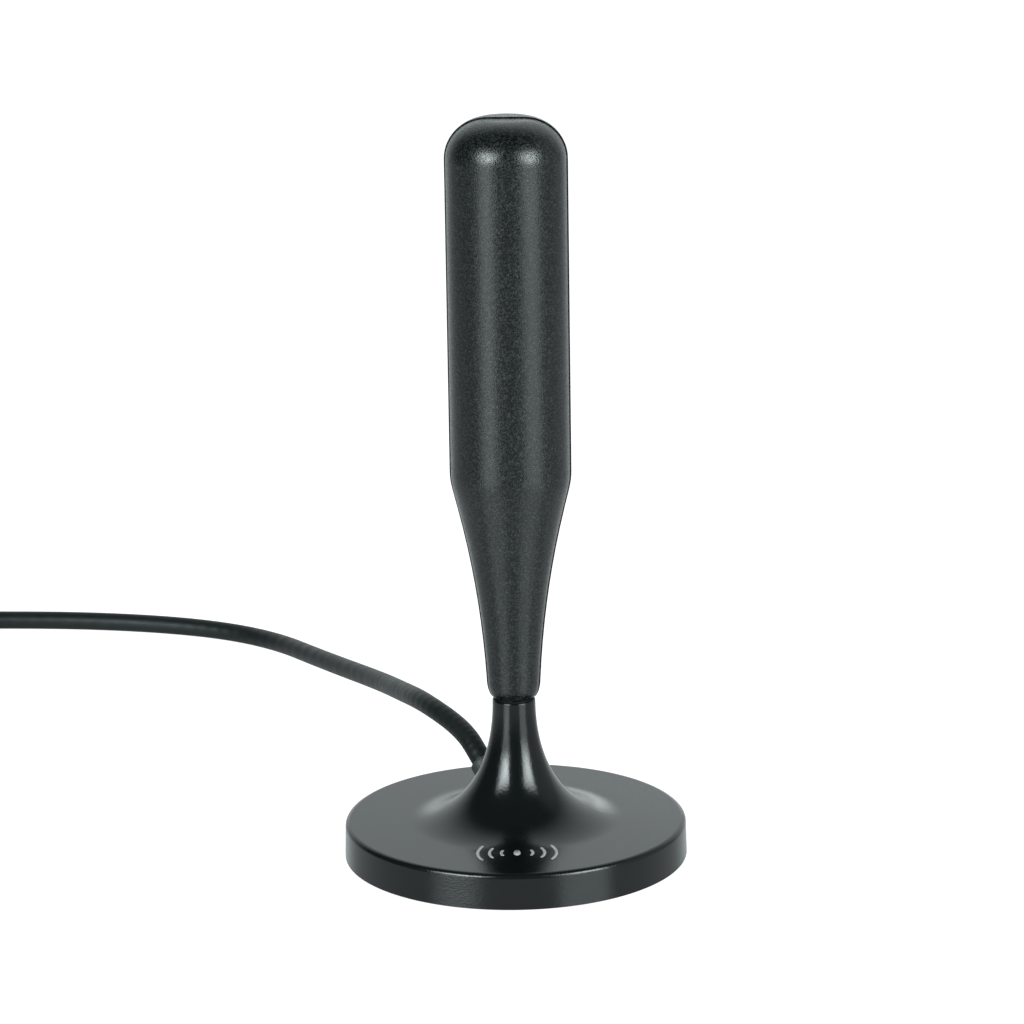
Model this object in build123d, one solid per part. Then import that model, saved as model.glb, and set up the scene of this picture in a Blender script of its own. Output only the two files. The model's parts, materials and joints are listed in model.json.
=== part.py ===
"""Indoor stick antenna on a weighted foot, with its coaxial lead and connector.

Millimetres, +Z up. The origin is the middle of the foot's underside, on the surface it stands on.
-Y is the front. The stick turns about Z. The lead leaves the flare at the back left.
"""

from build123d import *
import math
import os

os.makedirs("parts", exist_ok=True)

# ---------------------------------------------------------------- driving dimensions
FOOT_GAP = 0.4  # the moulded foot stands this far off the surface, on its pad
BASE_R = 40.0
BASE_TOP = 8.75  # height of the foot's flat top at its rim
BASE_DRAFT = 0.2
BASE_WALL = 2.0
RIM_R = 1.1
FLARE_R = 26.0  # where the flat top starts to rise
NECK_R = 4.98
NECK_Z = 37.9
NECK_BORE = 3.4
WASHER_SEAT = 0.4  # the recess for the thrust washer in the neck's top
CLIP_ROOM_R = 4.7
CLIP_ROOM_Z = 27.0

STICK_Z = 38.1  # underside of the stick
STICK_TOP = 173.7
STICK_R = 13.66
TAPER_START = (5.96, 42.6)
TAPER_END_Z = 90.72
TAPER_END_ANGLE = 10.6  # degrees off the axis
SHOULDER_TANGENT = 1.5  # the arc between taper and cylinder starts this far from their corner
BOTTOM_RADII = (1.8, 4.5)
TOP_RADII = (9.5, 9.1)
STICK_WALL = 1.6
SEAM_TURN = -2.0  # degrees: the stick's seam is turned a little from the X axis
SEAM_GAP = 0.6  # a shadow gap between the two shells
SEAM_DEPTH = 0.5
SEAM_STEP = 0.3  # the rear shell stands this far proud of the front one

BEARING_R = 3.36  # the stick's bore round the spigot
SPIGOT_R = 3.3
SPIGOT_BORE = 1.8
HEAD_R = 4.3
HEAD_Z = (43.4, 45.2)
CHAMBER_R = 5.05
CHAMBER_Z = (43.25, 45.4)
TAB_R = 4.9
TAB_HALF_ANGLE = 8.0  # stop tab on the spigot
RIB_HALF_ANGLE = 10.0  # stop rib in the front shell

LEAD_R = 2.45  # jacketed coaxial lead
CORE_R = 1.5  # the same lead with its jacket off
GLAND_AZIMUTH = 39.2  # degrees left of straight back
GLAND_RISE = 44.2  # degrees above the horizontal
GLAND_ROOT_Z = 7.84  # where the gland's axis meets Z
GLAND_R = 3.2
GLAND_SPAN = (8.5, 16.8)  # along its axis, from Z

PLATE_Z = (1.0, 2.2)
BALLAST_R = (18.5, 35.5)
BALLAST_Z = (2.2, 6.5)
MAGNET_R = (7.0, 18.2)
MAGNET_Z = (2.2, 5.2)
FLUX_TOP = 6.1
POST_CIRCLE = 29.0
POST_R = 3.4
SCREW_COUNT = 3

BOARD_HALF = 0.6  # half the board's thickness
BOARD_Z = (92.0, 165.0)
BOARD_W = 21.0
TAIL_W = 7.0
TAIL_Z = 62.0
BOSS_HEIGHTS = (98.0, 157.0)
COPPER = 0.1

TIE_THICK = 0.8
COIL_CENTRE = (-182.0, 155.0)
COIL_PITCH = 5.05
COIL_OUTER = 35.0  # middle of the outermost turn
COIL_TURNS = 3  # in each of the two layers
LAYER_RISE = 5.0
PLUG_X = -217.0
PLUG_Z = 5.8
PLUG_START_Y = 122.0

# The lead from inside the gland to where it enters the coil. Its first two points are on the gland's axis.
LEAD_ROUTE = [
    (-3.85, 4.72, 13.77),
    (-8.16, 10.0, 20.39),
    (-12.0, 17.4, 24.7),
    (-21.3, 30.4, 27.6),
    (-27.8, 56.8, 22.3),
    (-33.8, 86.2, 15.7),
    (-49.8, 131.0, 7.7),
    (-65.7, 168.5, 2.55),
    (-86.0, 181.5, 2.55),
    (-116.0, 189.0, 2.7),
    (-150.0, 190.4, 3.0),
    (-182.0, 190.0, 3.25),
]
# From the coil's top layer into the connector's boot.
TAIL_ROUTE = [
    (-217.0, 155.0, 8.25),
    (-217.0, 143.0, 8.1),
    (-217.4, 130.0, 6.2),
    (-217.0, 118.0, 5.8),
]
# The stripped lead from the gland, round a slack loop in the flare, up through the spigot.
INNER_ROUTE = [
    (-3.85, 4.72, 13.77),
    (-0.4, 0.5, 8.45),
    (3.4, -4.2, 8.2),
    (5.6, -6.9, 11.5),
    (4.2, -5.2, 15.5),
    (0.6, -0.8, 20.0),
    (0.0, 0.0, 25.0),
    (0.0, 0.0, 50.2),
]


# ---------------------------------------------------------------- helpers
def save(name, *solids):
    shape = solids[0] if len(solids) == 1 else Compound(children=list(solids))
    export_step(shape, f"parts/{name}.step")


def disc(radius, low, high):
    return Pos(0, 0, low) * Cylinder(radius, high - low, align=(Align.CENTER, Align.CENTER, Align.MIN))


def ring(inner, outer, low, high):
    return disc(outer, low, high) - disc(inner, low - 1, high + 1)


def block(x, y, z):
    """A box between two limits along each axis."""
    size = [high - low for low, high in (x, y, z)]
    middle = [(high + low) / 2 for low, high in (x, y, z)]
    return Pos(*middle) * Box(*size)


def turned(*edges):
    """A solid of revolution about Z from edges drawn as (radius, height)."""
    return revolve(Plane.XZ * make_face(edges), Axis.Z)


def sector(radius, low, high, azimuth, half_angle):
    """A wedge of a disc about Z."""
    reach = 2 * radius
    corners = [(0, 0)]
    for side in (-1, 1):
        angle = math.radians(azimuth + side * half_angle)
        corners.append((reach * math.cos(angle), reach * math.sin(angle)))
    wedge = extrude(Pos(0, 0, low) * make_face(Polyline(*corners, close=True)), high - low)
    return wedge & disc(radius, low, high)


def corner_radii(points):
    """For each corner, 0.45 of its shorter run over the tangent of half its turn."""
    radii = []
    for before, corner, after in zip(points, points[1:], points[2:]):
        first = Vector(*corner) - Vector(*before)
        second = Vector(*after) - Vector(*corner)
        half_turn = math.radians(first.get_angle(second)) / 2
        radii.append(0.45 * min(first.length, second.length) / math.tan(half_turn))
    return radii


def tube(name, points, radius):
    """A round tube along straight runs joined by tangent arcs. Prints its radii and its volume's share."""
    radii = corner_radii(points)
    path = FilletPolyline(*points, radius=radii)
    profile = Plane(origin=path @ 0, z_dir=path % 0) * Circle(radius)
    solid = sweep(profile, path=path)
    expected = math.pi * radius**2 * path.length
    print(name, "length", round(path.length, 1), "volume share", round(solid.volume / expected, 4))
    print(name, "radii", [round(r, 1) for r in radii])
    return solid


# ---------------------------------------------------------------- foot
def gland_frame():
    """The gland's axis as a plane whose normal runs outwards, from its root on Z."""
    azimuth = math.radians(GLAND_AZIMUTH)
    rise = math.radians(GLAND_RISE)
    level = math.cos(rise)
    outwards = (-math.sin(azimuth) * level, math.cos(azimuth) * level, math.sin(rise))
    return Plane(origin=(0, 0, GLAND_ROOT_Z), z_dir=outwards)


def foot_outside():
    rim_z = BASE_TOP - RIM_R
    rim_r = BASE_R - BASE_DRAFT
    flat_end = (FLARE_R, BASE_TOP + 0.11)
    neck_round = 0.35
    neck_side = (NECK_R, NECK_Z - neck_round)
    neck_top = (NECK_R - neck_round, NECK_Z)
    return turned(
        Line((0, FOOT_GAP), (BASE_R, FOOT_GAP)),
        Line((BASE_R, FOOT_GAP), (rim_r, rim_z)),
        EllipticalCenterArc((rim_r - RIM_R, rim_z), RIM_R, RIM_R, 0, arc_size=90),
        Line((rim_r - RIM_R, BASE_TOP), flat_end),
        Bezier(flat_end, (23.0, BASE_TOP + 0.14), (16.81, 8.6), (NECK_R, 14.9), neck_side),
        EllipticalCenterArc((NECK_R - neck_round, neck_side[1]), neck_round, neck_round, 0, arc_size=90),
        Line(neck_top, (0, NECK_Z)),
        Line((0, NECK_Z), (0, FOOT_GAP)),
    )


def foot_inside():
    side = BASE_R - BASE_WALL
    ceiling = BASE_TOP - BASE_WALL
    flare_top = (CLIP_ROOM_R, 24.5)
    return turned(
        Line((0, -1), (side, -1)),
        Line((side, -1), (side - BASE_DRAFT, ceiling)),
        Line((side - BASE_DRAFT, ceiling), (24.0, ceiling + 0.05)),
        Bezier((24.0, ceiling + 0.05), (13.65, ceiling + 0.1), (CLIP_ROOM_R, 20.0), flare_top),
        Line(flare_top, (CLIP_ROOM_R, CLIP_ROOM_Z)),
        Line((CLIP_ROOM_R, CLIP_ROOM_Z), (0, CLIP_ROOM_Z)),
        Line((0, CLIP_ROOM_Z), (0, -1)),
    )


def post_places():
    return PolarLocations(POST_CIRCLE, SCREW_COUNT, start_angle=90)


def make_foot():
    pilot_r = 0.85
    shell = foot_outside() - foot_inside() - disc(NECK_BORE, CLIP_ROOM_Z - 1, NECK_Z + 1)
    shell -= disc(HEAD_R + 0.05, NECK_Z - WASHER_SEAT, NECK_Z + 1)
    posts = [place * disc(POST_R, PLATE_Z[1], BASE_TOP - 1) for place in post_places()]
    pilots = [place * disc(pilot_r, PLATE_Z[1] - 1, BASE_TOP - 1.6) for place in post_places()]
    shell = shell + posts - pilots
    hole = gland_frame() * disc(GLAND_R, GLAND_SPAN[0], 2 * GLAND_SPAN[1])
    save("base_shell", shell - hole)

    head_r = 2.3
    shank_hole = 1.3
    plate = disc(BASE_R - BASE_WALL - 0.3, *PLATE_Z)
    for place in post_places():
        plate -= place * disc(shank_hole, 0, PLATE_Z[1] + 1)
        plate -= place * Pos(0, 0, PLATE_Z[0]) * Cone(
            head_r + 0.05, shank_hole, 1.0, align=(Align.CENTER, Align.CENTER, Align.MIN)
        )
    save("bottom_plate", plate)
    save("base_screws", *[place * countersunk_screw(head_r) for place in post_places()])

    pad_r = 36.5
    pad = disc(pad_r, 0, PLATE_Z[0])
    save("foot_pad", fillet(pad.edges().group_by(Axis.Z)[0], 0.35))


def countersunk_screw(head_r):
    """A self-tapping screw, head down, with a cross recess."""
    shank_r = 0.85
    low = PLATE_Z[0]
    head = Pos(0, 0, low) * Cone(head_r, shank_r, 1.0, align=(Align.CENTER, Align.CENTER, Align.MIN))
    screw = head + disc(shank_r, low + 0.9, BASE_TOP - 2.2)
    for turn in (0, 90):
        screw -= Rot(0, 0, turn) * block((-1.3, 1.3), (-0.25, 0.25), (low - 1, low + 0.6))
    return screw


def make_weights():
    ballast = ring(*BALLAST_R, *BALLAST_Z)
    for place in post_places():
        ballast -= place * disc(POST_R + 0.25, 0, 10)
    save("ballast_ring", ballast)
    save("ring_magnet", ring(*MAGNET_R, *MAGNET_Z))
    save("flux_plate", ring(3.0, MAGNET_R[1], MAGNET_Z[1], FLUX_TOP))


def make_gland():
    """The boss round the lead: an outer collar, with a flange inside the shell."""
    start, end = GLAND_SPAN
    collar = disc(GLAND_R, start, end)
    collar = fillet(collar.edges().group_by(Axis.Z)[-1], 0.6)
    flange = disc(GLAND_R + 0.7, start, start + 1.3)
    sleeve = collar + flange - disc(LEAD_R, start - 1, end + 1)
    save("cable_gland", gland_frame() * sleeve)

    crimp = disc(CORE_R + 1.4, 5.2, 8.2) - disc(CORE_R, 5, 9)
    save("lead_crimp", gland_frame() * crimp)
    save("inner_lead", tube("inner_lead", INNER_ROUTE, CORE_R))


# ---------------------------------------------------------------- swivel
def make_swivel():
    seat_z = NECK_Z - WASHER_SEAT
    collar_top = STICK_Z - 0.05
    foot_end = 25.3
    groove_z = 26.1
    groove_r = 2.9
    seal_z = 40.7
    seal_groove = 0.45
    spigot = disc(NECK_BORE, foot_end, seat_z) + disc(SPIGOT_R, seat_z, HEAD_Z[0]) + disc(HEAD_R, *HEAD_Z)
    spigot += sector(TAB_R, *HEAD_Z, 90, TAB_HALF_ANGLE)
    spigot += disc(2.9, HEAD_Z[1], HEAD_Z[1] + 0.8)
    spigot -= ring(groove_r, HEAD_R, groove_z, CLIP_ROOM_Z)
    spigot -= ring(2.75, HEAD_R, seal_z - seal_groove, seal_z + seal_groove)
    save("swivel_spigot", spigot - disc(SPIGOT_BORE, 0, STICK_TOP))
    save("thrust_washer", ring(SPIGOT_R + 0.05, HEAD_R, seat_z, collar_top))

    clip = ring(groove_r, CLIP_ROOM_R - 0.3, groove_z + 0.1, CLIP_ROOM_Z)
    save("spigot_clip", clip - sector(CLIP_ROOM_R, groove_z, CLIP_ROOM_Z + 1, -90, 28))

    seal = Pos(0, 0, seal_z) * Torus(3.04, 0.28)
    save("friction_ring", seal)


# ---------------------------------------------------------------- stick
def stick_body(inset):
    """The stick's outer form, with its surface moved inwards by inset."""
    angle = math.radians(TAPER_END_ANGLE)
    lean = (math.sin(angle), math.cos(angle))
    across = inset * math.cos(angle)
    along = inset * math.sin(angle)
    taper_end = (
        STICK_R - SHOULDER_TANGENT * lean[0] - across,
        TAPER_END_Z - SHOULDER_TANGENT * lean[1] + along,
    )
    taper_pull = (taper_end[0] - 4.1 * lean[0], taper_end[1] - 4.1 * lean[1])
    side = STICK_R - inset
    side_start = (side, TAPER_END_Z + SHOULDER_TANGENT)
    start_r, start_z = TAPER_START
    bottom_a, bottom_b = (radius - inset for radius in BOTTOM_RADII)
    taper_start = (start_r - inset, start_z)
    taper_rise = (start_r + 1.43 - inset, start_z + 26.15)
    bottom_middle = start_r - BOTTOM_RADII[0]
    top_a, top_b = (radius - inset for radius in TOP_RADII)
    top_middle = (STICK_R - TOP_RADII[0], STICK_TOP - TOP_RADII[1])
    return turned(
        Line((0, STICK_Z + inset), (bottom_middle, STICK_Z + inset)),
        EllipticalCenterArc((bottom_middle, start_z), bottom_a, bottom_b, 270, arc_size=90),
        Bezier(taper_start, taper_rise, taper_pull, taper_end),
        TangentArc(taper_end, side_start, tangent=lean),
        Line(side_start, (side, top_middle[1])),
        EllipticalCenterArc(top_middle, top_a, top_b, 0, arc_size=90),
        Line((top_middle[0], STICK_TOP - inset), (0, STICK_TOP - inset)),
        Line((0, STICK_TOP - inset), (0, STICK_Z + inset)),
    )


def half_space(side):
    """Everything on one side of the seam plane, above the underside: -1 is the front, 1 the rear."""
    return block((-50, 50), sorted((0, side * 50)), (STICK_Z, 300))


def half_wall(side):
    """One half of the stick's wall, cut back along its seam edge by the shadow gap."""
    proud = SEAM_STEP if side > 0 else 0
    outside = stick_body(-proud) & half_space(side)
    gap = block((-50, 50), (-SEAM_GAP / 2, SEAM_GAP / 2), (0, 300)) - stick_body(SEAM_DEPTH)
    return outside - stick_hollow() - gap


def stick_hollow():
    room = block((-50, 50), (-50, 50), (CHAMBER_Z[1], STICK_TOP))
    hollow = stick_body(STICK_WALL) & room
    hollow += disc(BEARING_R, STICK_Z - 1, CHAMBER_Z[0])
    hollow += disc(CHAMBER_R, *CHAMBER_Z)
    return hollow + disc(TAPER_START[0] - STICK_WALL + 0.1, CHAMBER_Z[1], CHAMBER_Z[1] + 1)


def seam_band(shallow, deep, y_limits):
    """A band inside the wall along the seam, between two depths below the surface."""
    band = stick_body(shallow) - stick_body(deep)
    return band & block((-50, 50), y_limits, (50, 300))


def make_shells():
    boss_r = 2.5
    bosses = []
    pilots = []
    for height in BOSS_HEIGHTS:
        towards_board = Pos(0, -BOARD_HALF, height) * Rot(90, 0, 0)
        bosses.append(towards_board * disc(boss_r, 0, STICK_R - STICK_WALL - BOARD_HALF + 0.3))
        pilots.append(towards_board * disc(0.8, -1, 8))
    stop_rib = sector(CHAMBER_R + 0.3, *CHAMBER_Z, -90, RIB_HALF_ANGLE) - disc(HEAD_R + 0.15, 0, STICK_TOP)
    front = half_wall(-1) + bosses + stop_rib + seam_band(0.8, 1.35, (-0.5, 0.9))
    save_stick("front_shell", front - pilots)

    rear = half_wall(1) - seam_band(0.7, STICK_WALL + 0.1, (-1, 1.0))
    for height in (112.0, 146.0):
        reach = stick_body(STICK_WALL - 0.3)
        rib = reach & block((-2.0, 2.0), (8.0, STICK_R), (height, height + 1.2))
        rear += rib
    save_stick("rear_shell", rear)


def save_stick(name, *solids):
    """Pieces of the stick are drawn with the seam along X, then turned with it."""
    save(name, *[Rot(0, 0, SEAM_TURN) * solid for solid in solids])


# ---------------------------------------------------------------- electronics in the stick
def make_board():
    half = BOARD_W / 2
    low, high = BOARD_Z
    tail = TAIL_W / 2
    neck = low - 8
    outline = Polyline(
        (-tail, TAIL_Z),
        (tail, TAIL_Z),
        (tail, neck),
        (half, low),
        (half, high),
        (-half, high),
        (-half, low),
        (-tail, neck),
        close=True,
    )
    board = extrude(Plane.XZ * make_face(outline), BOARD_HALF, both=True)
    for height in BOSS_HEIGHTS:
        board -= Pos(0, 0, height) * Rot(90, 0, 0) * Cylinder(1.1, 5)
    save_stick("antenna_board", board)


def copper(x, z):
    return block(x, (-BOARD_HALF - COPPER, -BOARD_HALF), z)


def make_traces():
    """Feed line and lower arm as one print, meander and top plate as another."""
    lower = copper((-0.75, 0.75), (TAIL_Z + 1, 93)) + copper((-9.6, 9.6), (92.6, 95.2))
    for side in (-1, 1):
        lower += copper(sorted((side * 7.2, side * 9.6)), (92.6, 124))
    rung_height = 1.2
    rung_pitch = 2.8
    rungs = 9
    first = 128.0
    reach = 9.0
    upper = copper((-0.9, 0.9), (first - 3.5, first + 0.2))
    for i in range(rungs):
        z = first + i * rung_pitch
        upper += copper((-reach, reach), (z, z + rung_height))
        side = 1 if i % 2 else -1
        if i < rungs - 1:
            upper += copper(sorted((side * reach, side * (reach - 1.2))), (z, z + rung_pitch + rung_height))
    top = first + (rungs - 1) * rung_pitch
    upper += copper((7.8, reach), (top, 163.5)) + copper((-reach, reach), (161, 163.5))
    save_stick("radiator_traces", lower, upper)


def on_rear(x, z, height, lift=0.0):
    return block(x, (BOARD_HALF + lift, BOARD_HALF + lift + height), z)


def make_components():
    can = on_rear((-7, 7), (104, 120), 3.2)
    save_stick("shield_can", can - on_rear((-6.7, 6.7), (104.3, 119.7), 2.9, lift=-0.01))
    save_stick("amplifier_chip", on_rear((-2, 2), (110, 114), 0.9))

    chips = []
    for i in range(5):
        z = 66 + 4 * i
        chips.append(on_rear((-2.6, -1.8), (z, z + 1.6), 0.6))
        chips.append(on_rear((1.6, 2.9), (z + 1, z + 3), 0.8))
    for x in (-9, -6.4, 6.4, 9):
        chips.append(on_rear((x - 0.6, x + 0.6), (97, 99), 0.7))
    save_stick("board_components", *chips)

    core = on_rear((-3.5, 3.5), (124, 129), 4)
    holes = []
    windings = []
    for x in (-1.7, 1.7):
        middle = (x, BOARD_HALF + 2, 126.5)
        holes.append(Pos(*middle) * Cylinder(0.8, 20))
        windings.append(Pos(*middle) * Cylinder(0.7, 7.6))
    save_stick("balun_core", core - holes)
    save_stick("balun_winding", *windings)

    screws = []
    for height in BOSS_HEIGHTS:
        shank = disc(0.8, -BOARD_HALF - 6, BOARD_HALF)
        head = disc(2.0, BOARD_HALF, BOARD_HALF + 1.4) - Pos(0, 0, BOARD_HALF + 1.4) * Box(2.4, 0.5, 1.2)
        screws.append(Pos(0, 0, height) * Rot(-90, 0, 0) * (shank + head))
    save_stick("board_screws", *screws)


def make_pigtail():
    """The lead's end in the stick. It meets the foot's part of the lead on the axis, with a small gap."""
    jacket_end = TAIL_Z - 1.5
    wire_r = 0.3
    solder_z = TAIL_Z + 4
    solder_y = BOARD_HALF + COPPER + wire_r
    save_stick("lead_pigtail", disc(CORE_R, INNER_ROUTE[-1][2] + 0.3, jacket_end))
    core_route = [
        (0, 0, jacket_end),
        (0, 0, jacket_end + 0.4),
        (0, -solder_y, jacket_end + 1.2),
        (0, -solder_y, solder_z),
    ]
    core = tube("lead_wires", core_route, wire_r)
    drain = Pos(0, solder_y, 0) * disc(wire_r, jacket_end, solder_z)
    save_stick("lead_wires", core, drain)


# ---------------------------------------------------------------- lead and connector
def make_lead():
    save("coax_lead", tube("coax_lead", LEAD_ROUTE, LEAD_R))
    save("coax_tail", tube("coax_tail", TAIL_ROUTE, LEAD_R))

    inner = COIL_OUTER - COIL_TURNS * COIL_PITCH - LEAD_R
    outer = COIL_OUTER + LEAD_R
    low = TIE_THICK
    high = TIE_THICK + LAYER_RISE + 2 * LEAD_R
    coil = ring(inner, outer, low, high)
    coil = fillet(coil.edges().filter_by(GeomType.CIRCLE), LEAD_R - 0.1)
    save("coax_coil", Pos(*COIL_CENTRE, 0) * coil)

    width = 3.5
    gap = 0.1
    for name, azimuth in (("coil_tie_a", 45), ("coil_tie_b", 225)):
        band = block(
            (inner - gap - TIE_THICK, outer + gap + TIE_THICK),
            (-width / 2, width / 2),
            (0, high + TIE_THICK),
        )
        band -= block((inner - gap, outer + gap), (-width, width), (low, high))
        save(name, Pos(*COIL_CENTRE, 0) * Rot(0, 0, azimuth) * band)


def plug_axis(shape):
    """Moves a piece drawn along Z on to the connector's axis, which runs towards the front."""
    return Pos(PLUG_X, PLUG_START_Y, PLUG_Z) * Rot(90, 0, 0) * shape


def make_connector():
    boot_end = 17.0
    body_end = 25.0
    flange = (28.0, 29.0)
    post_r = 3.1
    nut = (25.3, 34.3)
    nut_wall = 27.5
    nut_r = 5.6
    thread_r = 4.35
    bore_start = 20.0
    bore_r = 1.9

    boot = Cone(3.3, 4.3, boot_end, align=(Align.CENTER, Align.CENTER, Align.MIN))
    for i in range(5):
        at = 2.2 + 2.4 * i
        boot -= ring(2.85 + 0.15 * i, 6, at, at + 1.1)
    save("connector_boot", plug_axis(boot - disc(LEAD_R, -1, PLUG_START_Y - TAIL_ROUTE[-1][1])))

    body = disc(4.7, boot_end, body_end) - ring(4.3, 6, boot_end + 2.5, boot_end + 3.5)
    body += disc(post_r, body_end, flange[0]) + disc(4.2, *flange)
    save("connector_body", plug_axis(body - disc(bore_r, bore_start, flange[1] + 1)))
    save("connector_dielectric", plug_axis(disc(bore_r, bore_start, flange[1])))
    save("centre_pin", plug_axis(disc(0.5, flange[1], nut[1] + 1.5)))

    shell = disc(nut_r, *nut) - disc(post_r + 0.1, 0, nut[1]) - disc(thread_r, nut_wall, nut[1] + 1)
    shell = chamfer(shell.edges().filter_by(GeomType.CIRCLE).group_by(SortBy.RADIUS)[-1], 0.35)
    for place in PolarLocations(nut_r + 0.15, 28):
        shell -= place * Rot(0, 0, 45) * Box(0.5, 0.5, 80)
    thread_pitch = 0.8
    thread_depth = 0.35
    turns = int((nut[1] - nut_wall - 1.6) / thread_pitch)
    for i in range(turns):
        at = nut_wall + 1.4 + i * thread_pitch
        shell -= disc(thread_r + thread_depth, at, at + thread_pitch / 2)
    save("coupling_nut", plug_axis(shell))


make_foot()
make_weights()
make_gland()
make_swivel()
make_shells()
make_board()
make_traces()
make_components()
make_pigtail()
make_lead()
make_connector()
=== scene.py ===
import json
import math

import bpy
from mathutils import Matrix, Vector


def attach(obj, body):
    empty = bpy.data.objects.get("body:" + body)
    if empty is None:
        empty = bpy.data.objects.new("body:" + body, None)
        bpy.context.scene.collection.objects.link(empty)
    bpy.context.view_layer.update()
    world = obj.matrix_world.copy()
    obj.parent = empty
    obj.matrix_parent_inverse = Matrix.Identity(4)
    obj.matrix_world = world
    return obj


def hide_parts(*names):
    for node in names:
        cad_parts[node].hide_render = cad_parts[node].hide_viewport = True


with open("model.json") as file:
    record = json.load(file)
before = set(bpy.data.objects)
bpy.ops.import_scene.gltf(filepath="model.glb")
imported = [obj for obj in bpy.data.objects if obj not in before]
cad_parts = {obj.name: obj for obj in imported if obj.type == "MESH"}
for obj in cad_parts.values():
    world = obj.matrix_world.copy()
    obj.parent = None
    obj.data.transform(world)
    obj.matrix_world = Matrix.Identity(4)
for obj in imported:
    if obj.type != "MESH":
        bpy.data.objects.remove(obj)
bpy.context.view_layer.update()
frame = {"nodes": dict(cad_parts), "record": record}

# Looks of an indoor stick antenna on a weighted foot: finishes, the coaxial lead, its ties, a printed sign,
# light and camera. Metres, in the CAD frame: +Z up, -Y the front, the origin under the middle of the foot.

MM = 0.001

# ---------------------------------------------------------------- dimensions, in millimetres
LEAD_THICK = 4.9
LEAD_R = LEAD_THICK / 2
LEAD_LENGTH = 1400.0
RIB_PITCH = 1.9  # the faint ribs across the lead

# The lead's route from inside the gland to the coil.
LEAD_ROUTE = [
    (-3.85, 4.72, 13.77),
    (-8.16, 10.0, 20.39),
    (-12.0, 17.4, 24.7),
    (-21.3, 30.4, 27.6),
    (-27.8, 56.8, 22.3),
    (-33.8, 86.2, 15.7),
    (-49.8, 131.0, 7.7),
    (-65.7, 168.5, 2.55),
    (-86.0, 181.5, 2.55),
    (-116.0, 189.0, 2.7),
    (-150.0, 190.4, 3.0),
    (-182.0, 190.0, 3.25),
]
# From the coil's top layer into the connector's boot.
TAIL_ROUTE = [
    (-217.0, 155.0, 8.25),
    (-217.0, 143.0, 8.1),
    (-217.4, 130.0, 6.2),
    (-217.0, 118.0, 5.8),
]
COIL_CENTRE = (-182.0, 155.0)
COIL_OUTER = 35.0  # middle of the outermost turn
COIL_PITCH = 5.05
COIL_TURNS = 3  # in each of the two layers
COIL_INNER = COIL_OUTER - COIL_TURNS * COIL_PITCH
COIL_LAYERS = (3.25, 8.25)  # heights of the two layers
POINTS_PER_TURN = 16

TIE_THICK = 0.8
TIE_WIDTH = 3.5
TIE_AZIMUTHS = (45, 225)  # round the coil

SIGN_MIDDLE = (0.2, -25.5)
SIGN_RADII = (3.6, 6.3, 9.0)
SIGN_HALF_ANGLE = 30  # degrees
SIGN_STROKE = 0.34  # half the width of an arc's line
SIGN_DOT = (0.8, 1.7)  # half its width and half its depth: it looks round from the front
INK = 0.03


# ---------------------------------------------------------------- meshes
def add_object(name, data):
    made = bpy.data.objects.new(name, data)
    bpy.context.scene.collection.objects.link(made)
    return made


def mesh_object(name, points, faces):
    """Points are in millimetres."""
    mesh = bpy.data.meshes.new(name)
    mesh.from_pydata([Vector(p) * MM for p in points], [], faces)
    mesh.validate()
    mesh.polygons.foreach_set("use_smooth", [True] * len(mesh.polygons))
    return add_object(name, mesh)


class Builder:
    """Collects swept strips into one mesh."""

    def __init__(self):
        self.points = []
        self.faces = []

    def sweep(self, rings, closed=False):
        """Joins rings of equally many points into a skin, with end caps unless it closes on itself."""
        first = len(self.points)
        count = len(rings[0])
        for ring in rings:
            self.points.extend(ring)
        spans = len(rings) if closed else len(rings) - 1
        for i in range(spans):
            here = first + i * count
            there = first + (i + 1) % len(rings) * count
            for j in range(count):
                k = (j + 1) % count
                self.faces.append((here + j, here + k, there + k, there + j))
        if not closed:
            last = first + (len(rings) - 1) * count
            self.faces.append(tuple(first + j for j in reversed(range(count))))
            self.faces.append(tuple(last + j for j in range(count)))

    def make(self, name):
        return mesh_object(name, self.points, self.faces)


def rounded_rectangle(width, height, radius, per_corner=4):
    """Points round a rectangle with rounded corners, about its middle."""
    points = []
    corners = ((1, 1, 0), (-1, 1, 90), (-1, -1, 180), (1, -1, 270))
    for side, up, start in corners:
        for i in range(per_corner + 1):
            angle = math.radians(start + 90 * i / per_corner)
            x = side * (width / 2 - radius) + radius * math.cos(angle)
            y = up * (height / 2 - radius) + radius * math.sin(angle)
            points.append((x, y))
    return points


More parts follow.
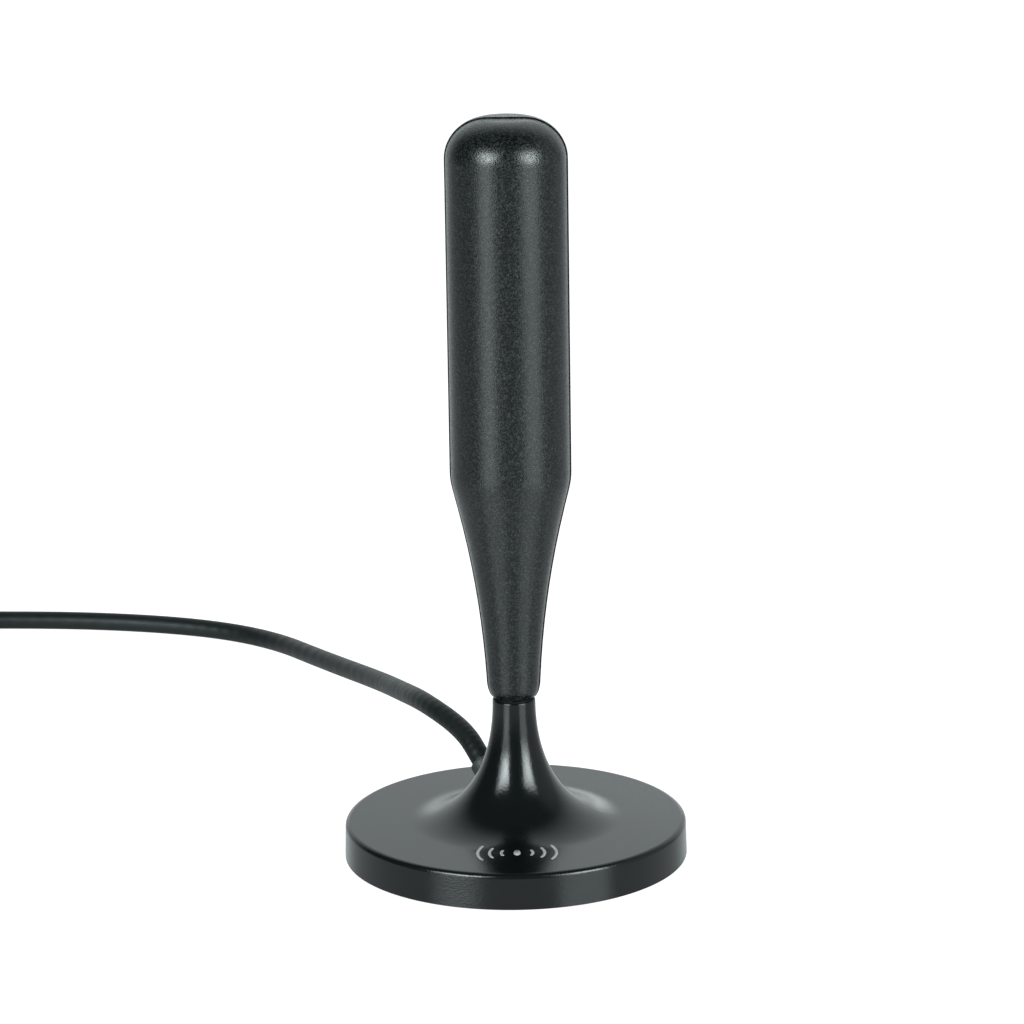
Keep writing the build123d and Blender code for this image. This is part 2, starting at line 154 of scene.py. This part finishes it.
# ---------------------------------------------------------------- materials
class Finish:
    """A Principled material, and the textures that vary it."""

    def __init__(self, name, colour, roughness, metallic=0.0, ior=1.5):
        self.material = bpy.data.materials.new(name)
        self.material.use_nodes = True
        self.tree = self.material.node_tree
        self.shader = self.tree.nodes["Principled BSDF"]
        self.set("Base Color", (*colour, 1))
        self.set("Roughness", roughness)
        self.set("Metallic", metallic)
        self.set("IOR", ior)
        self.colour = colour
        self.roughness = roughness
        self.bump = None

    def set(self, socket, value):
        self.shader.inputs[socket].default_value = value
        return self

    def node(self, kind, **values):
        made = self.tree.nodes.new(kind)
        for key, value in values.items():
            made.inputs[key.replace("_", " ")].default_value = value
        return made

    def link(self, source, target):
        self.tree.links.new(source, target)

    def place(self, stretch=(1, 1, 1), source="Object"):
        coordinates = self.tree.nodes.new("ShaderNodeTexCoord")
        mapping = self.node("ShaderNodeMapping", Scale=stretch)
        self.link(coordinates.outputs[source], mapping.inputs["Vector"])
        return mapping.outputs["Vector"]

    def noise(self, size, detail=2.0, stretch=(1, 1, 1)):
        """Noise whose features are about that many millimetres across."""
        made = self.node("ShaderNodeTexNoise", Scale=1 / (size * MM), Detail=detail)
        self.link(self.place(stretch), made.inputs["Vector"])
        return made.outputs["Fac"]

    def mottle(self, size, low, high, detail=3.0, stretch=(1, 1, 1)):
        """Varies the colour between two multiples of itself."""
        ramp = self.tree.nodes.new("ShaderNodeValToRGB")
        for stop, at, share in zip(ramp.color_ramp.elements, (0.3, 0.7), (low, high)):
            stop.position = at
            stop.color = (*[share * c for c in self.colour], 1)
        self.link(self.noise(size, detail, stretch), ramp.inputs["Fac"])
        self.link(ramp.outputs["Color"], self.shader.inputs["Base Color"])
        return self

    def smudge(self, size, low, high, detail=3.0, stretch=(1, 1, 1)):
        """Varies the roughness between two values."""
        remap = self.node("ShaderNodeMapRange", From_Min=0.3, From_Max=0.7, To_Min=low, To_Max=high)
        self.link(self.noise(size, detail, stretch), remap.inputs["Value"])
        self.link(remap.outputs["Result"], self.shader.inputs["Roughness"])
        return self

    def fleck(self, size, shares, smooth, rough):
        """Speckles the colour and the roughness in cells that many millimetres across."""
        cells = self.node("ShaderNodeTexVoronoi", Scale=1 / (size * MM))
        self.link(self.place(), cells.inputs["Vector"])
        split = self.tree.nodes.new("ShaderNodeSeparateColor")
        self.link(cells.outputs["Color"], split.inputs["Color"])
        ramp = self.tree.nodes.new("ShaderNodeValToRGB")
        while len(ramp.color_ramp.elements) < len(shares):
            ramp.color_ramp.elements.new(0.5)
        for stop, (at, share) in zip(ramp.color_ramp.elements, shares):
            stop.position = at
            stop.color = (*[share * c for c in self.colour], 1)
        self.link(split.outputs["Red"], ramp.inputs["Fac"])
        self.link(ramp.outputs["Color"], self.shader.inputs["Base Color"])
        remap = self.node("ShaderNodeMapRange", To_Min=smooth, To_Max=rough)
        self.link(split.outputs["Green"], remap.inputs["Value"])
        self.link(remap.outputs["Result"], self.shader.inputs["Roughness"])
        return self

    def relief(self, height, depth, strength=1.0):
        """Raises the surface by a height from 0 to 1 times depth, in millimetres."""
        made = self.node("ShaderNodeBump", Strength=strength, Distance=depth * MM)
        self.link(height, made.inputs["Height"])
        if self.bump:
            self.link(self.bump.outputs["Normal"], made.inputs["Normal"])
        self.bump = made
        self.link(made.outputs["Normal"], self.shader.inputs["Normal"])
        return self

    def grain(self, size, depth, detail=2.0, stretch=(1, 1, 1)):
        return self.relief(self.noise(size, detail, stretch), depth)


def stick_plastic():
    """Graphite plastic with a fine spark-eroded grain and a faint metallic fleck."""
    finish = Finish("stick_graphite", (0.006, 0.0079, 0.0079), 0.27, ior=1.52)
    finish.fleck(0.27, ((0.0, 0.1), (0.6, 0.5), (1.0, 3.8)), 0.1, 0.38)
    finish.grain(0.3, 0.05, detail=1.0)
    return finish


def foot_plastic():
    """Semi-gloss black plastic."""
    finish = Finish("foot_gloss_black", (0.0028, 0.004, 0.004), 0.16)
    finish.smudge(14.0, 0.14, 0.19)
    finish.grain(0.4, 0.027, detail=1.0)
    return finish


def lead_jacket():
    """Satin PVC with faint ribs across it from the extruder."""
    finish = Finish("lead_pvc", (0.006, 0.0085, 0.0085), 0.48, ior=1.36)
    finish.mottle(1.5, 0.85, 1.2)
    finish.smudge(3.0, 0.44, 0.52)
    one_wave = math.pi / 10  # the texture's scale for one wave in each unit
    along = finish.place((LEAD_LENGTH / RIB_PITCH, 0, 0), source="UV")
    wave = finish.node("ShaderNodeTexWave", Scale=one_wave, Distortion=0.8, Detail=2.0)
    finish.link(along, wave.inputs["Vector"])
    finish.relief(wave.outputs["Fac"], 0.05)
    finish.grain(0.4, 0.01)
    return finish


def moulded(name, colour, roughness, grain_size=0.3, depth=0.01):
    """Plain moulded plastic or rubber with a fine grain."""
    finish = Finish(name, colour, roughness)
    finish.mottle(grain_size * 4, 0.88, 1.14)
    finish.smudge(grain_size * 12, roughness - 0.05, roughness + 0.05)
    finish.grain(grain_size, depth)
    return finish


def metal(name, colour, roughness, stretch=(1, 1, 1)):
    """Plated or machined metal with fine tool marks."""
    finish = Finish(name, colour, roughness, metallic=1.0)
    finish.mottle(1.2, 0.9, 1.06)
    finish.smudge(0.8, roughness * 0.75, roughness * 1.3, stretch=stretch)
    finish.grain(0.15, 0.004, stretch=stretch)
    return finish


def board_laminate():
    """Green solder mask over woven glass."""
    finish = Finish("board_mask", (0.012, 0.085, 0.035), 0.35)
    finish.mottle(0.5, 0.85, 1.15, stretch=(1, 1, 0.3))
    finish.smudge(2.0, 0.3, 0.42)
    finish.grain(0.4, 0.01, stretch=(1, 1, 0.25))
    return finish


FINISHES = {
    "stick_plastic": stick_plastic,
    "foot_plastic": foot_plastic,
    "plate_plastic": lambda: moulded("plate_abs", (0.012, 0.013, 0.013), 0.5, 0.4, 0.015),
    "gland_plastic": lambda: moulded("gland_matt", (0.034, 0.042, 0.042), 0.5, 0.3, 0.015),
    "pad_rubber": lambda: moulded("pad_rubber", (0.02, 0.02, 0.021), 0.75, 0.6, 0.06),
    "seal_rubber": lambda: moulded("seal_rubber", (0.012, 0.012, 0.012), 0.6),
    "acetal": lambda: moulded("acetal_black", (0.003, 0.003, 0.003), 0.6),
    "weight_steel": lambda: metal("weight_steel", (0.42, 0.41, 0.39), 0.38, (1, 1, 6)),
    "spring_steel": lambda: metal("spring_steel", (0.34, 0.34, 0.35), 0.3),
    "zinc_screw": lambda: metal("zinc_plate", (0.62, 0.63, 0.64), 0.28),
    "ferrite": lambda: moulded("ferrite", (0.03, 0.03, 0.032), 0.55, 0.5, 0.03),
    "lead_jacket": lead_jacket,
    "lead_core_jacket": lambda: moulded("core_jacket", (0.02, 0.02, 0.022), 0.42),
    "boot_plastic": lambda: moulded("boot_pvc", (0.013, 0.015, 0.015), 0.5, 0.35, 0.02),
    "tie_plastic": lambda: moulded("tie_vinyl", (0.012, 0.013, 0.013), 0.32, 0.4, 0.02),
    "nickel": lambda: metal("nickel_plate", (0.62, 0.6, 0.56), 0.2),
    "dielectric": lambda: moulded("ptfe_white", (0.75, 0.74, 0.7), 0.45),
    "copper": lambda: metal("copper", (0.72, 0.36, 0.2), 0.3),
    "enamelled_wire": lambda: metal("enamelled_wire", (0.5, 0.16, 0.06), 0.25),
    "board_laminate": board_laminate,
    "tinned_steel": lambda: metal("tinned_steel", (0.68, 0.68, 0.67), 0.3),
    "chip_epoxy": lambda: moulded("chip_epoxy", (0.015, 0.015, 0.016), 0.5),
    "chip_ceramic": lambda: moulded("chip_ceramic", (0.25, 0.19, 0.13), 0.5),
}


def make_materials():
    return {slot: make().material for slot, make in FINISHES.items()}


def finish_cad_nodes(materials):
    """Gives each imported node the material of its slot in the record."""
    for part in frame["record"]["subparts"]:
        slots = frame["nodes"][part["node"]].data.materials
        slots.clear()
        slots.append(materials[part["material_slot"]])


# ---------------------------------------------------------------- lead
def coil_points():
    """Two flat layers of turns: inwards along the bottom, up one layer, and outwards along the top."""
    step = 2 * math.pi / POINTS_PER_TURN
    outside_line = 1 / (0.75 + 0.25 * math.cos(step))  # the curve runs inside its control points
    low, high = COIL_LAYERS
    down = COIL_TURNS * POINTS_PER_TURN
    rise = POINTS_PER_TURN // 4
    points = []
    for i in range(1, 2 * down + rise):
        angle = math.pi / 2 + i * step
        if i <= down:
            radius = COIL_OUTER - COIL_PITCH * i / POINTS_PER_TURN
            height = low
        elif i <= down + rise:
            radius = COIL_INNER
            height = low + (high - low) * (i - down) / rise
        else:
            radius = COIL_INNER + COIL_PITCH * (i - down - rise) / POINTS_PER_TURN
            height = high
        reach = radius * outside_line
        x = COIL_CENTRE[0] + reach * math.cos(angle)
        y = COIL_CENTRE[1] + reach * math.sin(angle)
        points.append((x, y, height))
    return points


def make_lead(materials):
    route = LEAD_ROUTE + coil_points() + TAIL_ROUTE
    curve = bpy.data.curves.new("lead", "CURVE")
    curve.dimensions = "3D"
    curve.resolution_u = 10
    curve.bevel_depth = LEAD_R * MM
    curve.bevel_resolution = 6
    curve.use_fill_caps = True
    spline = curve.splines.new("NURBS")
    spline.points.add(len(route) - 1)
    for point, place in zip(spline.points, route):
        point.co = (*[MM * c for c in place], 1)
    spline.order_u = 3
    spline.use_endpoint_u = True
    curve.materials.append(materials["lead_jacket"])
    lead = add_object("lead", curve)
    lead.visible_glossy = False
    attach(lead, "base")
    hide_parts("coax_lead", "coax_coil", "coax_tail")


# ---------------------------------------------------------------- ties
def twist_tie(name, azimuth):
    """A flat wire tie round the coil's turns, its ends twisted together and bent down along the top."""
    inner = COIL_INNER - LEAD_R
    outer = COIL_OUTER + LEAD_R
    top = COIL_LAYERS[1] + LEAD_R
    slack = 0.05
    loop_width = outer - inner + TIE_THICK + 2 * slack
    loop_height = top + slack
    middle = ((inner + outer) / 2, TIE_THICK / 2 + loop_height / 2)
    builder = Builder()

    edge_round = 0.35
    across = rounded_rectangle(TIE_WIDTH, TIE_THICK, edge_round, per_corner=2)
    line = rounded_rectangle(loop_width, loop_height, LEAD_R + 0.45, per_corner=8)
    rings = []
    count = len(line)
    for i, (u, w) in enumerate(line):
        before = line[i - 1]
        after = line[(i + 1) % count]
        run = Vector((after[0] - before[0], after[1] - before[1])).normalized()
        outwards = Vector((run.y, -run.x))
        ring = []
        for side, lift in across:
            ring.append((middle[0] + u + outwards.x * lift, side, middle[1] + w + outwards.y * lift))
        rings.append(ring)
    builder.sweep(rings, closed=True)

    inset = 6.0  # from the coil's outside to the twist
    clearance = 0.35
    twist_tails(builder, Vector((outer - inset, 0, top + TIE_THICK + clearance)))
    made = builder.make(name)
    made.data.transform(Matrix.Rotation(math.radians(azimuth), 4, "Z"))
    made.data.transform(Matrix.Translation(Vector((*COIL_CENTRE, 0)) * MM))
    return made


def twist_tails(builder, start):
    """Two ribbons wound round each other, lying along the turns, their ends spread."""
    length = 15.0
    turns = 3.25
    drift = 7.0  # how far the ends lean in, to follow the turns
    hump = 0.54
    lift = 0.75
    free = 0.8  # from here on the ends splay
    steps = 96
    ribbon = rounded_rectangle(1.9, 0.6, 0.25, per_corner=2)
    for phase in (0, math.pi):
        rings = []
        for i in range(steps + 1):
            t = i / steps
            splay = max(0, (t - free) / (1 - free))
            wind = 0.42 + 0.25 * min(1, t * 8) + 0.9 * splay**2  # from the twist's middle to the ribbon
            angle = phase + 2 * math.pi * turns * min(t, 0.85)
            away = Vector((math.cos(angle), 0, math.sin(angle)))
            flat = Vector((-math.sin(angle), 0, math.cos(angle)))
            rise = lift + hump * math.sin(math.pi * min(1, 1.6 * t))
            bend = Vector((-drift * t * t, length * t, rise))
            middle = start + bend + away * wind
            rings.append([tuple(middle + flat * u + away * w) for u, w in ribbon])
        builder.sweep(rings)


def make_ties(materials):
    for letter, azimuth in zip("ab", TIE_AZIMUTHS):
        tie = twist_tie("twist_tie_" + letter, azimuth)
        tie.data.materials.append(materials["tie_plastic"])
        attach(tie, "base")
        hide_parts("coil_tie_" + letter)


# ---------------------------------------------------------------- printed sign
def arc_pairs(side, radius):
    """Pairs of points across an arc's line, which has round ends."""
    half_angle = math.radians(SIGN_HALF_ANGLE)
    reach = radius * half_angle
    steps = 32
    pairs = []
    for i in range(steps + 1):
        along = -math.cos(math.pi * i / steps)
        past = max(0, abs(along) * reach - reach + SIGN_STROKE) / SIGN_STROKE
        width = SIGN_STROKE * math.sqrt(max(0.01, 1 - past * past))
        angle = along * half_angle
        ends = []
        for r in (radius - width, radius + width):
            ends.append((side * r * math.cos(angle), r * math.sin(angle)))
        pairs.append(ends)
    return pairs


def dot_pairs():
    """Pairs of points from the dot's front to its back."""
    half_width, half_depth = SIGN_DOT
    steps = 24
    pairs = []
    for i in range(steps + 1):
        angle = math.pi * i / steps
        x = -half_width * math.cos(angle)
        reach = half_depth * max(0.02, math.sin(angle))
        pairs.append([(x, -reach), (x, reach)])
    return pairs


def make_sign():
    """A plain transmitting sign printed on the foot: a dot with three arcs on each side."""
    shell = frame["nodes"]["base_shell"]
    above_foot = 40
    builder = Builder()

    def surface(x, y):
        above = Vector((SIGN_MIDDLE[0] + x, SIGN_MIDDLE[1] + y, above_foot)) * MM
        place = shell.ray_cast(above, Vector((0, 0, -1)))[1]
        return place.z / MM

    def bar(pairs):
        rings = []
        for left, right in pairs:
            ring = []
            for (x, y), lift in ((left, -INK), (left, INK), (right, INK), (right, -INK)):
                ring.append((SIGN_MIDDLE[0] + x, SIGN_MIDDLE[1] + y, surface(x, y) + lift))
            rings.append(ring)
        builder.sweep(rings)

    for side in (-1, 1):
        for radius in SIGN_RADII:
            bar(arc_pairs(side, radius))
    bar(dot_pairs())

    sign = builder.make("printed_sign")
    ink_finish = Finish("sign_ink", (0.42, 0.43, 0.43), 0.45)
    ink_finish.mottle(0.4, 0.94, 1.04).grain(0.3, 0.004)
    sign.data.materials.append(ink_finish.material)
    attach(sign, "base")


# ---------------------------------------------------------------- stage
def direction(azimuth, elevation):
    """Azimuth 0 is towards the front, 90 to the right."""
    a, e = math.radians(azimuth), math.radians(elevation)
    return Vector((math.sin(a) * math.cos(e), -math.cos(a) * math.cos(e), math.sin(e)))


def make_camera():
    data = bpy.data.cameras.new("camera")
    data.sensor_width = 36
    data.lens = 145.81
    data.clip_start = 0.05
    data.clip_end = 20
    camera = add_object("camera", data)
    distance, height = 0.91945, 0.3276
    yaw, pitch, roll = 0.013, -14.925, -0.855  # degrees
    turn = Matrix.Rotation(math.radians(-yaw), 4, "Z")
    turn @= Matrix.Rotation(math.radians(90 + pitch), 4, "X")
    turn @= Matrix.Rotation(math.radians(roll), 4, "Z")
    camera.matrix_world = Matrix.Translation((0, -distance, height)) @ turn
    bpy.context.scene.camera = camera


def softbox(name, azimuth, elevation, width, height, radiance):
    """A rectangular light that fills width by height degrees, seen from the object."""
    target = Vector((0, 0, 0.09))
    distance = 2.0
    data = bpy.data.lights.new(name, "AREA")
    data.shape = "RECTANGLE"
    data.size = 2 * distance * math.tan(math.radians(width / 2))
    data.size_y = 2 * distance * math.tan(math.radians(height / 2))
    data.energy = radiance * math.pi * data.size * data.size_y
    data.color = (0.9, 1.0, 1.0)
    light = add_object(name, data)
    outwards = direction(azimuth, elevation)
    light.location = target + outwards * distance
    light.rotation_euler = outwards.to_track_quat("Z", "Y").to_euler()
    light.visible_camera = False


def make_world():
    """A dark studio with a wide white backdrop, a paler right side and a pale table all round."""
    world = bpy.data.worlds.new("studio")
    bpy.context.scene.world = world
    world.use_nodes = True
    tree = world.node_tree
    nodes, links = tree.nodes, tree.links
    background = nodes["Background"]
    place = nodes.new("ShaderNodeTexCoord").outputs["Generated"]

    def remap(value, low, high, result_low, result_high):
        node = nodes.new("ShaderNodeMapRange")
        node.interpolation_type = "SMOOTHSTEP"
        node.inputs["From Min"].default_value = low
        node.inputs["From Max"].default_value = high
        node.inputs["To Min"].default_value = result_low
        node.inputs["To Max"].default_value = result_high
        links.new(value, node.inputs["Value"])
        return node.outputs["Result"]

    def brighter(a, b):
        node = nodes.new("ShaderNodeMath")
        node.operation = "MAXIMUM"
        links.new(a, node.inputs[0])
        links.new(b, node.inputs[1])
        return node.outputs["Value"]

    def lobe(azimuth, elevation, inner, outer, strength):
        node = nodes.new("ShaderNodeVectorMath")
        node.operation = "DOT_PRODUCT"
        links.new(place, node.inputs[0])
        node.inputs[1].default_value = direction(azimuth, elevation)
        edge = math.cos(math.radians(outer))
        full = math.cos(math.radians(inner))
        return remap(node.outputs["Value"], edge, full, 0, strength)

    height = nodes.new("ShaderNodeSeparateXYZ")
    links.new(place, height.inputs["Vector"])
    strength = remap(height.outputs["Z"], 0.0, -0.3, 0.07, 0.55)  # the table all round
    for lit in (
        lobe(174, 20, 22, 66, 0.86),  # the backdrop
        lobe(180, -8, 20, 75, 0.72),  # the table in front of it
        lobe(95, 5, 15, 60, 0.42),  # the right wall
        lobe(173, 9.5, 1, 10, 1.8),  # brighter patches behind
        lobe(-170, 9.5, 1, 11, 1.3),
    ):
        strength = brighter(strength, lit)

    links.new(strength, background.inputs["Strength"])
    background.inputs["Color"].default_value = (0.92, 1.0, 1.0, 1)

    # The camera sees plain white in place of it.
    plain = nodes.new("ShaderNodeBackground")
    plain.inputs["Color"].default_value = (1, 1, 1, 1)
    shown = nodes.new("ShaderNodeMixShader")
    links.new(nodes.new("ShaderNodeLightPath").outputs["Is Camera Ray"], shown.inputs["Fac"])
    links.new(background.outputs["Background"], shown.inputs[1])
    links.new(plain.outputs["Background"], shown.inputs[2])
    links.new(shown.outputs["Shader"], nodes["World Output"].inputs["Surface"])


def make_floor():
    """A plain pale table that glows a little, so that it comes out as white as the backdrop."""
    half = 5000
    corners = [(x * half, y * half, 0) for x, y in ((-1, -1), (1, -1), (1, 1), (-1, 1))]
    floor = mesh_object("floor", corners, [(0, 1, 2, 3)])
    finish = Finish("floor_white", (0.35, 0.35, 0.35), 0.9)
    finish.set("Emission Color", (1, 1, 1, 1))
    finish.set("Emission Strength", 0.9)
    finish.mottle(40.0, 0.98, 1.02)
    floor.data.materials.append(finish.material)
    floor.visible_glossy = False
    floor.visible_diffuse = False
    floor.visible_shadow = False


def make_lights():
    """On each side, a softbox brighter towards its middle, and fainter light off the table."""
    softbox("softbox_left", -39, 22, 34, 32, 5.2)
    softbox("softbox_left_middle", -37, 22, 24, 22, 5.4)
    softbox("softbox_left_core", -34, 20, 13, 14, 5.4)
    softbox("softbox_right", 46, 19, 33, 36, 4.9)
    softbox("softbox_right_middle", 47, 19, 21, 24, 4.8)
    softbox("softbox_right_core", 48, 18, 12, 14, 4.5)
    softbox("table_glow_left", -40, -9, 32, 22, 1.2)
    softbox("table_glow_left_middle", -39, -8, 20, 20, 1.4)
    softbox("table_glow_right", 46, -10, 33, 24, 1.6)
    softbox("table_glow_right_middle", 46, -10, 20, 24, 2.4)
    softbox("low_glow_left", -40, -38, 36, 24, 0.8)
    softbox("low_glow_right", 46, -38, 36, 24, 0.8)
    make_world()
    bpy.context.scene.view_settings.view_transform = "Standard"


make_camera()
materials = make_materials()
make_ties(materials)
make_lead(materials)
finish_cad_nodes(materials)
make_sign()
make_floor()
make_lights()
